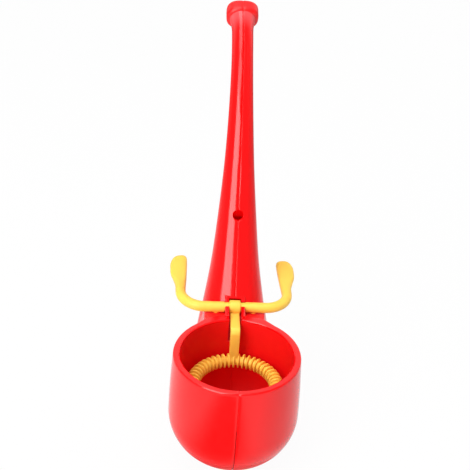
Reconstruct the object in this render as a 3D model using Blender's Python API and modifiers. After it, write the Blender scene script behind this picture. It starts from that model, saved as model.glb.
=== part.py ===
# Bubble pipe: two glued shell halves make the bowl, stem and mouthpiece, and a rocking
# finger lever dips its ribbed ring in the bowl and lifts it in front of the air hole.
# Metres, +Z up. The origin is the lowest point of the bowl, on the bowl's axis.
# The stem runs back along +Y and the two halves meet on the plane X = 0.

import math

import bmesh
import bpy
import numpy as np
from mathutils import Matrix, Vector

for old in list(bpy.data.objects):
    bpy.data.objects.remove(old, do_unlink=True)

# Clearances
SEAM_GAP = 0.0003            # between the two halves
PIVOT_CLEARANCE = 0.0003     # round the lever's journals and hub, and beside its bar
STOP_GAP = 0.0003            # between the rest stops and the stem
CUT_MARGIN = 0.002           # how far a cutter runs past the face it opens

# Bowl
RIM_RADIUS = 0.0275
BELLY_SWELL = 0.0010         # widest ring beyond the rim
BELLY_HEIGHT = 0.0255        # the bottom below this height is half an ellipsoid
BOWL_HEIGHT = 0.0555
BOWL_WALL = 0.0030
RIM_ROUND = 0.0007
BOWL_STEPS = 44

# Hinge axis, behind and just under the rim
HINGE_BEHIND_RIM = 0.0075
HINGE_BELOW_RIM = 0.0005

# Stem: slope and diameter at even stations from the foot to the mouthpiece
FOOT_BEHIND_HINGE = 0.0112
FOOT_BELOW_HINGE = 0.0100
STEM_LENGTH = 0.1383
STEM_SLOPES = (70.5, 70.5, 69.5, 65.0, 56.5, 45.0, 18.0)
STEM_DIAMETERS = (0.0294, 0.0218, 0.0170, 0.0132, 0.0110, 0.0098, 0.0098)
STEM_WALL = 0.0021
STEM_RINGS = 22
STEM_SIDES = 20

# Neck: from the stem's foot down into the bowl's wall
NECK_LENGTH = 0.053
NECK_SLOPES = (70.5, 60.0, 41.0, 20.0, 2.0)
NECK_DIAMETERS = (0.0294, 0.0302, 0.0294, 0.0250, 0.0180)
NECK_RINGS = 11
AIR_END_RADIUS = 0.002

# Mouthpiece lip
LIP_WIDTH = 0.0144
LIP_HEIGHT = 0.0118
LIP_LENGTH = 0.0057
LIP_ROUND = 0.0014
LIP_STEPS = 28
FLARE_WIDTH = 0.0118         # of the stem where it meets the lip
FLARE_LENGTH = 0.0070

# Air hole in the front of the stem
AIR_HOLE_DIAMETER = 0.0045
AIR_HOLE_ALONG_STEM = 0.0465

# Bearing block behind the rim: two ears, a slot between them and a bridge over the hub
SLOT_WIDTH = 0.0059
EAR_THICKNESS = 0.0015
EAR_DROP = 0.0002            # top of the ears below the rim
THRUST_RECESS = 0.0001       # flat sunk in each ear beside the bar
SLOT_DEPTH = 0.0125
BLOCK_DEPTH = 0.0160
POCKET_WALL = 0.0015
BRIDGE_LIFT = 0.0037         # top of the bridge above the rim
BRIDGE_HEIGHT = 0.0008
BRIDGE_BEHIND_HINGE = 0.0026

# Locating pegs on the left half, in sockets of the right half
PEG_DIAMETER = 0.0012
PEG_LENGTH = 0.0020
PEG_CLEARANCE = 0.0003

# Lever: cross bar, finger horns and hub
JOURNAL_DIAMETER = 0.0032
HUB_DIAMETER = 0.0062
BAR_DIAMETER = 0.0044
HORN_SPACING = 0.0490        # between the horns' centre lines
HORN_BEND = 0.0105
HORN_REACH = 0.0365          # from the hinge axis to the tip
HORN_RISE = 3.0              # degrees
PADDLE_WIDTH = 0.0078
PADDLE_THICKNESS = 0.0034
PADDLE_LENGTH = 0.0225
PADDLE_SPLAY = 0.0009
BAR_SIDES = 12

# Lever: arm, dip ring and rest stops
ARM_WIDTH = 0.0042
ARM_THICKNESS = 0.0019
ARM_BEND = 0.0024
RING_INSET = 0.0061          # middle of the tube inside the bowl's wall
RIB_DIAMETER = 0.0063
GROOVE_DIAMETER = 0.0050
RIB_COUNT = 52
RING_BELOW_HINGE = 0.0184
RING_BEHIND_AXIS = 0.0014
STOP_SPACING = 0.0168
STOP_DIAMETER = 0.0026
STOP_REACH = 0.0033

RED = (0.80, 0.012, 0.016, 1.0)
YELLOW = (0.93, 0.60, 0.060, 1.0)

# Places that follow from the sizes
HINGE_Y = RIM_RADIUS + HINGE_BEHIND_RIM
HINGE_Z = BOWL_HEIGHT - HINGE_BELOW_RIM
HINGE = Vector((0.0, HINGE_Y, HINGE_Z))
FOOT_Y = HINGE_Y + FOOT_BEHIND_HINGE
FOOT_Z = HINGE_Z - FOOT_BELOW_HINGE
BELLY_RADIUS = RIM_RADIUS + BELLY_SWELL
BORE_RADIUS = RIM_RADIUS - BOWL_WALL
RING_DIAMETER = 2 * (BORE_RADIUS - RING_INSET)
EAR_OUTSIDE = SLOT_WIDTH / 2 + EAR_THICKNESS
JOURNAL_ROOM = JOURNAL_DIAMETER / 2 + PIVOT_CLEARANCE
HUB_ROOM = HUB_DIAMETER / 2 + PIVOT_CLEARANCE
BAR_ROOM = BAR_DIAMETER / 2 + PIVOT_CLEARANCE

parts = bpy.data.collections.new("bubble_pipe")
cutters = bpy.data.collections.new("cutters")
bpy.context.scene.collection.children.link(parts)
bpy.context.scene.collection.children.link(cutters)


def plastic(name, colour, roughness):
    mat = bpy.data.materials.new(name)
    mat.use_nodes = True
    shader = mat.node_tree.nodes["Principled BSDF"]
    shader.inputs["Base Color"].default_value = colour
    shader.inputs["Roughness"].default_value = roughness
    shader.inputs["Metallic"].default_value = 0.0
    return mat


def helper(name, mesh):
    # A cutter or guide: linked out of the way and not rendered.
    obj = bpy.data.objects.new(name, mesh)
    obj.hide_render = True
    obj.display_type = "WIRE"
    cutters.objects.link(obj)
    return obj


def cleaned(name, curve, matrix=None):
    # The curve as a closed mesh: its loose caps are welded to the walls.
    guide = bpy.data.objects.new(name, curve)
    cutters.objects.link(guide)
    if matrix is not None:
        guide.matrix_world = matrix
    bpy.context.view_layer.update()
    evaluated = guide.evaluated_get(bpy.context.evaluated_depsgraph_get())
    mesh = bpy.data.meshes.new_from_object(evaluated)
    mesh.transform(guide.matrix_world)
    bm = bmesh.new()
    bm.from_mesh(mesh)
    bmesh.ops.remove_doubles(bm, verts=bm.verts, dist=0.000001)
    bmesh.ops.recalc_face_normals(bm, faces=bm.faces)
    bm.to_mesh(mesh)
    bm.free()
    mesh.shade_smooth()
    bpy.data.objects.remove(guide)
    return mesh


def sweep(name, path, radii, sides, closed=False):
    # A round tube along a path, with its own radius at each point.
    curve = bpy.data.curves.new(name, "CURVE")
    curve.dimensions = "3D"
    spline = curve.splines.new("POLY")
    spline.points.add(len(path) - 1)
    for point, place, radius in zip(spline.points, path, radii):
        point.co = (*place, 1.0)
        point.radius = radius
    spline.use_cyclic_u = closed
    curve.bevel_depth = 1.0
    curve.bevel_resolution = (sides - 4) // 2
    curve.use_fill_caps = not closed
    return cleaned(name, curve)


def plate(name, outline, half_width):
    # An outline in the plane X = 0, given as (y, z) points, thickened along X.
    curve = bpy.data.curves.new(name, "CURVE")
    curve.dimensions = "2D"
    curve.fill_mode = "BOTH"
    curve.extrude = half_width
    spline = curve.splines.new("POLY")
    spline.points.add(len(outline) - 1)
    for point, (y, z) in zip(spline.points, outline):
        point.co = (y, z, 0.0, 1.0)
    spline.use_cyclic_u = True
    axes = Matrix(((0, 0, 1, 0), (1, 0, 0, 0), (0, 1, 0, 0), (0, 0, 0, 1)))
    return cleaned(name, curve, axes)


def turned(name, profile, steps):
    # A profile of (radius, height) points, from the top down, turned about Z.
    mesh = bpy.data.meshes.new(name)
    points = [(radius, 0.0, height) for radius, height in profile]
    mesh.from_pydata(points, [(i, i + 1) for i in range(len(points) - 1)], [])
    obj = helper(name, mesh)
    screw = obj.modifiers.new("turn", "SCREW")
    screw.axis = "Z"
    screw.steps = steps
    screw.render_steps = steps
    screw.use_merge_vertices = True
    screw.merge_threshold = 0.000001
    screw.use_smooth_shade = True
    return obj


def rod(name, diameter, start, end, sides=20):
    # A round rod between two points.
    start, end = Vector(start), Vector(end)
    along = end - start
    mesh = bpy.data.meshes.new(name)
    bm = bmesh.new()
    turn = along.to_track_quat("Z", "Y").to_matrix().to_4x4()
    bmesh.ops.create_cone(bm, cap_ends=True, segments=sides, radius1=diameter / 2, radius2=diameter / 2,
                          depth=along.length, matrix=Matrix.Translation((start + end) / 2) @ turn)
    bm.to_mesh(mesh)
    bm.free()
    mesh.shade_smooth()
    return mesh


def boolean(obj, operation, tool):
    step = obj.modifiers.new(tool.name, "BOOLEAN")
    step.operation = operation
    step.solver = "EXACT"
    step.object = tool


def through(stations, count):
    # Values at even steps on a smooth (Catmull-Rom) curve through evenly spaced stations.
    known = np.array(stations)
    known = np.concatenate([[2 * known[0] - known[1]], known, [2 * known[-1] - known[-2]]])
    place = np.linspace(0, len(stations) - 1, count)
    cell = np.minimum(place.astype(int), len(stations) - 2)
    f = place - cell
    before, left, right, after = (known[cell + k] for k in range(4))
    return 0.5 * (2 * left + (right - before) * f + (2 * before - 5 * left + 4 * right - after) * f**2
                  + (3 * left - before - 3 * right + after) * f**3)


def walk(slopes, length, sense):
    # Y and Z along a line whose slope is given, from the stem's foot up (+1) or down (-1).
    slope = np.radians(slopes)
    mid = (slope[1:] + slope[:-1]) / 2
    step = sense * length / (len(slopes) - 1)
    y = FOOT_Y + np.concatenate([[0.0], np.cumsum(np.cos(mid) * step)])
    z = FOOT_Z + np.concatenate([[0.0], np.cumsum(np.sin(mid) * step)])
    return y, z


def arc(centre, radius, start, end, count):
    # Points on an arc, as pairs, from one angle to another in degrees.
    turn = np.radians(np.linspace(start, end, count))
    return [(centre[0] + radius * math.cos(a), centre[1] + radius * math.sin(a)) for a in turn]


# Centre line of neck and stem, from inside the bowl's wall to the mouthpiece
stem_slope = through(STEM_SLOPES, STEM_RINGS)
neck_slope = through(NECK_SLOPES, NECK_RINGS)
stem_y, stem_z = walk(stem_slope, STEM_LENGTH, 1)
neck_y, neck_z = walk(neck_slope, NECK_LENGTH, -1)
line_y = np.concatenate([neck_y[:0:-1], stem_y])
line_z = np.concatenate([neck_z[:0:-1], stem_z])
line_slope = np.radians(np.concatenate([neck_slope[:0:-1], stem_slope]))
neck_radius = through(NECK_DIAMETERS, NECK_RINGS) / 2
line_radius = np.concatenate([neck_radius[:0:-1], through(STEM_DIAMETERS, STEM_RINGS) / 2])
line = np.stack([np.zeros_like(line_y), line_y, line_z], axis=1)
mouth = Vector(line[-1])
mouth_out = Vector((0.0, math.cos(line_slope[-1]), math.sin(line_slope[-1])))


def bowl_profile(inset, top):
    # From the axis at the top, down the wall, to the axis at the bottom.
    wall = [(RIM_RADIUS - inset, BOWL_HEIGHT)]
    for part in (0.25, 0.5, 0.75):
        bulge = BELLY_SWELL * math.sin(part * math.pi / 2)
        wall.append((RIM_RADIUS - inset + bulge, BOWL_HEIGHT + (BELLY_HEIGHT - BOWL_HEIGHT) * part))
    turn = np.radians(np.linspace(0, 90, 11))
    wide, deep = BELLY_RADIUS - inset, BELLY_HEIGHT - inset
    bottom = [(wide * math.cos(a), BELLY_HEIGHT - deep * math.sin(a)) for a in turn[:-1]]
    return [(0.0, top)] + wall + bottom + [(0.0, inset)]


def outer_bowl():
    profile = bowl_profile(0.0, BOWL_HEIGHT)
    rounded = arc((RIM_RADIUS - RIM_ROUND, BOWL_HEIGHT - RIM_ROUND), RIM_ROUND, 90, 0, 4)
    return turned("bowl_form", profile[:1] + rounded + profile[2:], BOWL_STEPS)


def bowl_hollow():
    profile = bowl_profile(BOWL_WALL, BOWL_HEIGHT + CUT_MARGIN)
    lead_in = [(BORE_RADIUS + RIM_ROUND / 2, BOWL_HEIGHT + CUT_MARGIN),
               (BORE_RADIUS + RIM_ROUND / 2, BOWL_HEIGHT),
               (BORE_RADIUS, BOWL_HEIGHT - RIM_ROUND / 2)]
    return turned("bowl_hollow", profile[:1] + lead_in + profile[2:], BOWL_STEPS)


def lip_form():
    # An oval collar, rounded at both ends, with a flare that leads into it from the stem.
    half = LIP_WIDTH / 2
    top = arc((half - LIP_ROUND, LIP_LENGTH - LIP_ROUND), LIP_ROUND, 90, 0, 4)
    foot = arc((half - LIP_ROUND, LIP_ROUND), LIP_ROUND, 0, -90, 4)
    wide, slim = FLARE_WIDTH / 2, STEM_DIAMETERS[-1] / 2 * 0.98
    flare = [(slim + (wide - slim) * (1 - part) ** 2, -FLARE_LENGTH * part) for part in (0, 0.25, 0.5, 1)]
    profile = [(0.0, LIP_LENGTH)] + top + foot + flare + [(0.0, -FLARE_LENGTH)]
    obj = turned("lip_form", profile, LIP_STEPS)
    side = Vector((1.0, 0.0, 0.0))
    up = mouth_out.cross(side)
    basis = Matrix((side, up * (LIP_HEIGHT / LIP_WIDTH), mouth_out)).transposed().to_4x4()
    turn = Matrix.Rotation(math.pi / LIP_STEPS, 4, "Z")
    obj.matrix_world = Matrix.Translation(mouth) @ basis @ turn
    return obj


def air_way():
    # The hollow of the stem. In the neck it narrows so that it stays behind the bowl's wall.
    behind = (line_y - BELLY_RADIUS - STEM_WALL / 2) / np.sin(line_slope)
    radius = np.minimum(line_radius - STEM_WALL, behind)
    inside = radius > AIR_END_RADIUS
    end = np.array(mouth + mouth_out * (LIP_LENGTH + CUT_MARGIN))
    path = np.vstack([line[inside], end])
    radii = np.append(radius[inside], radius[-1])
    return helper("air_way", sweep("air_way", path, radii, STEM_SIDES))


def bearing_block():
    # Side outline of the ears and the bridge, flush with the rim in front of the hinge.
    front = RIM_RADIUS - BOWL_WALL / 2
    back = HINGE_Y + HUB_ROOM + POCKET_WALL
    low = BOWL_HEIGHT - BLOCK_DEPTH
    crest = BOWL_HEIGHT + BRIDGE_LIFT
    top = BOWL_HEIGHT - EAR_DROP
    outline = [(front, low), (back, low), (back, crest), (HINGE_Y + BRIDGE_BEHIND_HINGE, crest),
               (HINGE_Y, top), (front, top)]
    return helper("bearing_block", plate("bearing_block", outline, EAR_OUTSIDE))


def slot_cutter():
    # The gap between the ears: through the bowl's back wall and round behind the hub.
    front = RIM_RADIUS - 2 * BOWL_WALL
    wall_back = RIM_RADIUS
    low = BOWL_HEIGHT - SLOT_DEPTH
    top = BOWL_HEIGHT + BRIDGE_LIFT + CUT_MARGIN
    under = BOWL_HEIGHT + BRIDGE_LIFT - BRIDGE_HEIGHT
    round_hub = arc((HINGE_Y, HINGE_Z), HUB_ROOM, -100, 25, 8)
    outline = [(front, top), (front, low), (wall_back, low)] + round_hub
    outline += [(HINGE_Y + HUB_ROOM * 0.9, under), (HINGE_Y, under), (HINGE_Y, top)]
    return helper("slot", plate("slot", outline, SLOT_WIDTH / 2))


def air_hole():
    # Square to the front of the stem, on the line where the halves meet.
    along = np.linspace(0, STEM_LENGTH, STEM_RINGS)
    y, z, slope = (np.interp(AIR_HOLE_ALONG_STEM, along, row) for row in (stem_y, stem_z, stem_slope))
    spot = Vector((0.0, y, z))
    slope = math.radians(slope)
    out = Vector((0.0, -math.sin(slope), math.cos(slope)))
    reach = STEM_DIAMETERS[0] / 2
    return helper("air_hole", rod("air_hole", AIR_HOLE_DIAMETER, spot, spot + out * reach, 24))


def pivot_cutters():
    # Bearing holes through the ears, and grooves beside them where the bar lies on the stem.
    half = Vector((EAR_OUTSIDE + PIVOT_CLEARANCE, 0, 0))
    yield helper("bearings", rod("bearings", 2 * JOURNAL_ROOM, HINGE - half, HINGE + half, 24))
    for side, name in ((-1, "bar_groove_left"), (1, "bar_groove_right")):
        near = Vector((side * (EAR_OUTSIDE - THRUST_RECESS), 0, 0))
        far = Vector((side * (STEM_DIAMETERS[0] / 2 + CUT_MARGIN), 0, 0))
        yield helper(name, rod(name, 2 * BAR_ROOM, HINGE + near, HINGE + far, 24))


def whole_body():
    body = outer_bowl()
    inside_lip = np.array(mouth + mouth_out * LIP_LENGTH / 2)
    path = np.vstack([line, inside_lip])
    radii = np.append(line_radius, line_radius[-1])
    stem = helper("stem_form", sweep("stem_form", path, radii, STEM_SIDES))
    for piece in (stem, lip_form(), bearing_block()):
        boolean(body, "UNION", piece)
    hollow = air_way()
    boolean(hollow, "DIFFERENCE", bpy.data.objects["bearing_block"])
    for tool in (bowl_hollow(), hollow, slot_cutter(), air_hole(), *pivot_cutters()):
        boolean(body, "DIFFERENCE", tool)
    return body


def peg_places():
    # In the middle of the wall: front of the bowl, its bottom, and the heel of the neck.
    middle = BOWL_WALL / 2
    yield -(RIM_RADIUS - middle), BOWL_HEIGHT * 0.7
    yield -(BELLY_RADIUS - middle) * math.sin(math.radians(45)), BELLY_HEIGHT - (
        BELLY_HEIGHT - middle) * math.cos(math.radians(45))
    yield 0.0, middle
    heel = len(neck_y) // 2
    reach = neck_radius[heel] - STEM_WALL / 2
    slope = math.radians(neck_slope[heel])
    yield neck_y[heel] + reach * math.sin(slope), neck_z[heel] - reach * math.cos(slope)


def pegs(name, diameter, start, end):
    return [helper(f"{name}_{i}", rod(f"{name}_{i}", diameter, (start, y, z), (end, y, z), 10))
            for i, (y, z) in enumerate(peg_places())]


def half_shell(name, side, body, mat):
    # One side of the body: what it shares with a box that stops short of the seam.
    reach = max(STEM_LENGTH, BOWL_HEIGHT) * 2
    middle = Matrix.Translation((side * (reach + SEAM_GAP / 2), 0, 0))
    mesh = bpy.data.meshes.new(name)
    bm = bmesh.new()
    bmesh.ops.create_cube(bm, size=2 * reach, matrix=middle)
    bm.to_mesh(mesh)
    bm.free()
    mesh.materials.append(mat)
    obj = bpy.data.objects.new(name, mesh)
    parts.objects.link(obj)
    boolean(obj, "INTERSECT", body)
    return obj


def paddle_share(back):
    # Nought in the round bar, one in the flat of the paddle, with an easy change between.
    along = np.clip((back - (HORN_REACH - PADDLE_LENGTH)) / (PADDLE_LENGTH - PADDLE_WIDTH), 0, 1)
    return along * along * (3 - 2 * along)


def horn_path():
    # Half of the bar, its bend and one horn: places and radii from the ear to the tip.
    start = EAR_OUTSIDE + PIVOT_CLEARANCE
    turn_x = HORN_SPACING / 2 - HORN_BEND
    bar = [(x, 0.0) for x in np.linspace(start, turn_x, 4)]
    bend = arc((turn_x, HORN_BEND), HORN_BEND, -90, 0, 6)[1:]
    run = HORN_REACH - HORN_BEND
    shares = np.array([0.12, 0.3, 0.45, 0.58, 0.7, 0.8, 0.88, 0.94, 0.98, 1.0])
    back = [(HORN_SPACING / 2, HORN_BEND + run * share) for share in shares]
    flat = np.array(bar + bend + back)
    ease = paddle_share(flat[:, 1])
    tip = np.clip((flat[:, 1] - (HORN_REACH - PADDLE_WIDTH)) / PADDLE_WIDTH, 0, 0.995)
    radius = BAR_DIAMETER / 2 + (PADDLE_WIDTH - BAR_DIAMETER) / 2 * ease
    radius = radius * np.sqrt(1 - tip**2.4)
    path = np.stack([flat[:, 0] + PADDLE_SPLAY * ease, flat[:, 1],
                     np.tan(math.radians(HORN_RISE)) * np.maximum(flat[:, 1], 0)], axis=1)
    return path, radius


def horns():
    # A round bar that flattens towards each tip, mirrored to the other side.
    path, radius = horn_path()
    mesh = sweep("horns", path + np.array(HINGE), radius, BAR_SIDES)
    rise = math.tan(math.radians(HORN_RISE))
    for vertex in mesh.vertices:
        back = vertex.co.y - HINGE_Y
        thin = 1 - (1 - PADDLE_THICKNESS / PADDLE_WIDTH) * float(paddle_share(back))
        level = HINGE_Z + rise * max(back, 0.0)
        vertex.co.z = level + (vertex.co.z - level) * thin
    obj = helper("horns", mesh)
    mirror = obj.modifiers.new("other_side", "MIRROR")
    mirror.use_axis = (True, False, False)
    mirror.use_mirror_merge = False
    return obj


def lever_arm():
    # Forward from the hub through the slot, then straight down to the back of the ring.
    low = HINGE_Z - HUB_DIAMETER / 2
    high = low + ARM_THICKNESS
    ring_back = RING_BEHIND_AXIS + RING_DIAMETER / 2
    front = ring_back - ARM_THICKNESS / 2
    rear = ring_back + ARM_THICKNESS / 2
    foot = HINGE_Z - RING_BELOW_HINGE
    outer = arc((front + ARM_BEND, high - ARM_BEND), ARM_BEND, 180, 90, 5)
    inner = arc((rear + ARM_BEND / 2, low - ARM_BEND / 2), ARM_BEND / 2, 90, 180, 4)
    outline = [(front, foot)] + outer + [(HINGE_Y, high), (HINGE_Y, low)] + inner + [(rear, foot)]
    return helper("lever_arm", plate("lever_arm", outline, ARM_WIDTH / 2))


def dip_ring():
    # Ribs round the ring: two points of unlike radius for each.
    turn = np.linspace(0, 2 * math.pi, 2 * RIB_COUNT, endpoint=False) + math.pi / 2
    across = RING_DIAMETER / 2 * np.cos(turn)
    back = RING_BEHIND_AXIS + RING_DIAMETER / 2 * np.sin(turn)
    path = np.stack([across, back, np.full_like(turn, HINGE_Z - RING_BELOW_HINGE)], axis=1)
    radii = np.where(np.arange(2 * RIB_COUNT) % 2 == 0, RIB_DIAMETER, GROOVE_DIAMETER) / 2
    return helper("dip_ring", sweep("dip_ring", path, radii, 8, closed=True))


def rest_stops():
    # Under the bar, a small gap short of the front of the stem.
    across = STOP_SPACING / 2
    lift = np.sqrt(np.maximum(line_radius**2 - across**2, 0))
    front_y = line_y - lift * np.sin(line_slope)
    front_z = line_z + lift * np.cos(line_slope)
    stem_front = np.interp(HINGE_Z - STOP_REACH, front_z, front_y)
    y = stem_front - STOP_GAP - STOP_DIAMETER / 2
    for side, name in ((-1, "rest_stop_left"), (1, "rest_stop_right")):
        at = Vector((side * across, y, HINGE_Z))
        yield helper(name, rod(name, STOP_DIAMETER, at, at - Vector((0, 0, STOP_REACH)), 12))


def rocking_lever(mat):
    half_hub = Vector((SLOT_WIDTH / 2 - PIVOT_CLEARANCE, 0, 0))
    half_axle = Vector((EAR_OUTSIDE + 2 * PIVOT_CLEARANCE, 0, 0))
    mesh = rod("lever", HUB_DIAMETER, HINGE - half_hub, HINGE + half_hub)
    mesh.materials.append(mat)
    lever = bpy.data.objects.new("lever", mesh)
    parts.objects.link(lever)
    axle = rod("axle", JOURNAL_DIAMETER, HINGE - half_axle, HINGE + half_axle)
    for piece in (helper("axle", axle), horns(), *rest_stops(), dip_ring(), lever_arm()):
        boolean(lever, "UNION", piece)
    return lever


def settled(obj):
    # The finished mesh in place of its steps, smooth but for its real edges.
    bpy.context.view_layer.update()
    evaluated = obj.evaluated_get(bpy.context.evaluated_depsgraph_get())
    mesh = bpy.data.meshes.new_from_object(evaluated)
    obj.modifiers.clear()
    obj.data = mesh
    mesh.shade_smooth()
    mesh.set_sharp_from_angle(angle=math.radians(35))
    return obj


def hang_on_pivot(obj):
    # The lever turns with an empty that stands on the hinge axis.
    pivot = bpy.data.objects.new("lever_pivot", None)
    pivot.location = HINGE
    pivot.empty_display_size = HUB_DIAMETER
    parts.objects.link(pivot)
    obj.parent = pivot
    obj.location = -HINGE


red = plastic("red_plastic", RED, 0.28)
yellow = plastic("yellow_plastic", YELLOW, 0.35)
body_form = whole_body()
left = half_shell("left_shell", -1, body_form, red)
right = half_shell("right_shell", 1, body_form, red)
for peg in pegs("peg", PEG_DIAMETER, -SEAM_GAP / 2 - PEG_LENGTH, PEG_LENGTH):
    boolean(left, "UNION", peg)
for socket in pegs("socket", PEG_DIAMETER + 2 * PEG_CLEARANCE, -CUT_MARGIN, PEG_LENGTH + PEG_CLEARANCE):
    boolean(right, "DIFFERENCE", socket)
settled(left)
settled(right)
hang_on_pivot(settled(rocking_lever(yellow)))
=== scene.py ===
import math

import bpy
import numpy as np
from mathutils import Matrix, Vector


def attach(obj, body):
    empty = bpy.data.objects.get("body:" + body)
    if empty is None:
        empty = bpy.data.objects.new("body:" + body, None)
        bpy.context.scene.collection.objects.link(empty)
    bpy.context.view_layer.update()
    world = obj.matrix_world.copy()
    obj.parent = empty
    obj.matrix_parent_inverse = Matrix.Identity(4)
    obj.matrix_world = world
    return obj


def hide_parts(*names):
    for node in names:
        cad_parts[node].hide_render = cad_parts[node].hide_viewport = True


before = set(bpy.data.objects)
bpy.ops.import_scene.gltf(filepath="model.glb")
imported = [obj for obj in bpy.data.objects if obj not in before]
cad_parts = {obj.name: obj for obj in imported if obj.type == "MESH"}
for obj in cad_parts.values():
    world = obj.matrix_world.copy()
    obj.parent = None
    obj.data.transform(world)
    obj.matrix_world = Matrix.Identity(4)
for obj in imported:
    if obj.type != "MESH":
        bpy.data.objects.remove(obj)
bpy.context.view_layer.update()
print("frame:", sorted(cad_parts))

scene = bpy.context.scene
scene.view_settings.view_transform = "Standard"


# numpy helpers

def smoothThrough(stations, count):
    # Catmull-Rom curve through evenly spaced stations, read at even steps
    known = np.array(stations, float)
    known = np.concatenate([[2 * known[0] - known[1]], known, [2 * known[-1] - known[-2]]])
    place = np.linspace(0, len(stations) - 1, count)
    cell = np.minimum(place.astype(int), len(stations) - 2)
    f = place - cell
    a, b, c, d = (known[cell + k] for k in range(4))
    return 0.5 * (2 * b + (c - a) * f + (2 * a - 5 * b + 4 * c - d) * f**2 + (3 * b - a - 3 * c + d) * f**3)


def ease(t):
    # nought below 0, one above 1, level at both ends
    t = np.clip(t, 0, 1)
    return t * t * (3 - 2 * t)


def arcPoints(centre, radius, start, end, count):
    # points on an arc, angles in degrees
    turn = np.radians(np.linspace(start, end, count))
    return np.stack([centre[0] + radius * np.cos(turn), centre[1] + radius * np.sin(turn)], axis=1)


def ovalTurn(angles, power):
    # cosine and sine bent towards a rounded square as power goes above 2
    c, s = np.cos(angles), np.sin(angles)
    return np.sign(c) * np.abs(c) ** (2 / power), np.sign(s) * np.abs(s) ** (2 / power)


def seamColumns(count, near):
    # even angles round a ring, with close ones beside 0 and 180 degrees where the halves meet
    near, step = np.array(near), math.pi / count
    half = np.concatenate([near, np.arange(1, count) * step, math.pi - near[::-1]])
    return np.concatenate([half, half + math.pi])


def outward(verts, faces):
    # whether the faces enclose a positive volume
    tri = np.array([(f[0], f[k], f[k + 1]) for f in faces for k in range(1, len(f) - 1)])
    a, b, c = verts[tri[:, 0]], verts[tri[:, 1]], verts[tri[:, 2]]
    return np.einsum("ij,ij->i", a, np.cross(b, c)).sum() > 0


def makeObject(name, verts, faces):
    if not outward(verts, faces):
        faces = [f[::-1] for f in faces]
    mesh = bpy.data.meshes.new(name)
    mesh.from_pydata(verts.tolist(), [], faces)
    mesh.validate()
    mesh.update()
    obj = bpy.data.objects.new(name, mesh)
    scene.collection.objects.link(obj)
    return obj


def ringQuads(n, m, loop=False):
    # quads from each of n rings of m points to the next, and from the last to the first if they make a loop
    here = np.arange(n if loop else n - 1)[:, None] * m
    there = (here + m) % (n * m)
    col = np.arange(m)
    nextCol = (col + 1) % m
    quads = np.stack([here + col, here + nextCol, there + nextCol, there + col], axis=-1)
    return quads.reshape(-1, 4).tolist()


def skinRings(name, rings, tips=None, loop=False):
    # rings[i, j]: quads join each ring to the next, and the two ends run in to tip points
    n, m = rings.shape[:2]
    verts = rings.reshape(-1, 3)
    faces = ringQuads(n, m, loop)
    if not loop:
        tips = [rings[0].mean(0), rings[-1].mean(0)] if tips is None else tips
        verts = np.vstack([verts, tips])
        col = np.arange(m)
        nextCol = (col + 1) % m
        first = np.full(m, n * m)
        faces += np.stack([first, nextCol, col], axis=-1).tolist()
        faces += np.stack([first + 1, (n - 1) * m + col, (n - 1) * m + nextCol], axis=-1).tolist()
    return makeObject(name, verts, faces)


def insetOutline(points, by):
    # a closed outline moved inwards: each corner slides along the sum of its two edge normals
    edge = np.roll(points, -1, axis=0) - points
    edge = edge / np.linalg.norm(edge, axis=1)[:, None]
    area = np.sum(points[:, 0] * np.roll(points[:, 1], -1) - np.roll(points[:, 0], -1) * points[:, 1])
    normal = np.stack([-edge[:, 1], edge[:, 0]], axis=1) * np.sign(area)
    before = np.roll(normal, 1, axis=0)
    return points + by * (normal + before) / (1 + np.sum(normal * before, axis=1))[:, None]


def plateAcross(name, outline, halfWidth, soft=0.0):
    # a (y, z) outline carried across X, drawn in by a small round at both faces
    outline = np.array(outline, float)
    turn = np.radians(np.linspace(90, 0, 4)) if soft else np.array([0.0])
    lean = np.sin(turn) if soft else np.ones(1)
    rows = list(zip(-halfWidth + soft * (1 - lean), soft * (1 - np.cos(turn))))
    rows += [(-x, d) for x, d in rows[::-1]]
    across = np.ones(len(outline))
    rings = np.stack([np.column_stack([across * x, insetOutline(outline, d)]) for x, d in rows])
    n, m = rings.shape[:2]
    col = np.arange(m)
    faces = ringQuads(n, m) + [col[::-1].tolist(), ((n - 1) * m + col).tolist()]
    return makeObject(name, rings.reshape(-1, 3), faces)


def rodBetween(name, start, end, radius, soft=0.0, sides=64):
    # a profile of (along, radius) pairs, rounded at both ends, turned about the line
    start, end = np.array(start, float), np.array(end, float)
    along = end - start
    length = np.linalg.norm(along)
    along = along / length
    awry = [0.31, 0.87, 0.38]      # a direction that no rod follows
    side = np.cross(along, awry)
    side = side / np.linalg.norm(side)
    up = np.cross(along, side)
    turn = np.radians(np.linspace(0, 90, 6 if soft else 1))
    first = np.stack([soft * (1 - np.cos(turn)), radius - soft + soft * np.sin(turn)], axis=1)
    profile = np.vstack([first, np.column_stack([length - first[::-1, 0], first[::-1, 1]])])
    angles = np.linspace(0, 2 * math.pi, sides, endpoint=False)
    circle = np.cos(angles)[:, None] * side + np.sin(angles)[:, None] * up
    rings = start + profile[:, :1, None] * along + profile[:, 1:, None] * circle
    return skinRings(name, rings)


def combine(obj, operation, tool):
    step = obj.modifiers.new(tool.name, "BOOLEAN")
    step.operation = operation
    step.solver = "MANIFOLD"
    step.object = tool


def settle(obj, sharp=32):
    # the finished mesh in place of its steps, smooth but for its real edges
    bpy.context.view_layer.update()
    mesh = bpy.data.meshes.new_from_object(obj.evaluated_get(bpy.context.evaluated_depsgraph_get()))
    obj.modifiers.clear()
    obj.data = mesh
    mesh.shade_smooth()
    mesh.set_sharp_from_angle(angle=math.radians(sharp))
    print(obj.name, len(mesh.polygons), "faces")
    return obj


def clearTools(*objs):
    for obj in objs:
        bpy.data.objects.remove(obj, do_unlink=True)


# bowl

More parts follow.
